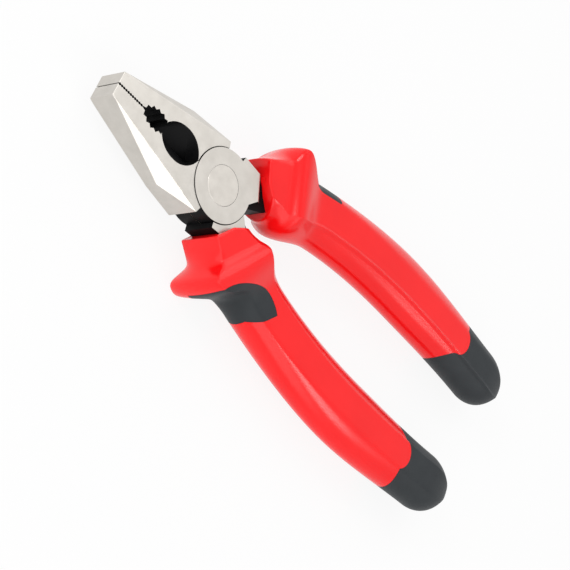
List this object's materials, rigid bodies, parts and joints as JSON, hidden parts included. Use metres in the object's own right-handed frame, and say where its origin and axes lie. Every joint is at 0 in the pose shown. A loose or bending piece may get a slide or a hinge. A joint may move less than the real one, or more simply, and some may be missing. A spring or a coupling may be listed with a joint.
{
  "type": "combination pliers",
  "caption": "Combination pliers with lapped forged halves on a flush rivet, serrated jaws, pipe grip, wire cutter and guarded two-colour grips.",
  "frame": {"origin": "on the pivot axis, at the flat lower face of the joint", "axes": "+X along the tool towards the handle tails, +Z along the pivot axis through the upper joint disc, +Y towards the right handle"},
  "size_m": [0.1796, 0.0688, 0.0204],
  "materials": {
    "steel": "satin",
    "grip_red": "gloss",
    "grip_black": "satin"
  },
  "bodies": {
    "back": {"back_half": "steel", "pivot_rivet": "steel", "left_sleeve": "grip_red", "left_thumb_pad": "grip_black", "left_tail_cap": "grip_black"},
    "front": {"front_half": "steel", "right_sleeve": "grip_red", "right_thumb_pad": "grip_black", "right_tail_cap": "grip_black"}
  },
  "joints": [
    {"name": "jaw_pivot", "type": "hinge", "parent": "back", "child": "front", "pos_m": [0, 0, 0.0058], "axis": [0, 0, 1], "range_deg": [0, 30]}
  ]
}
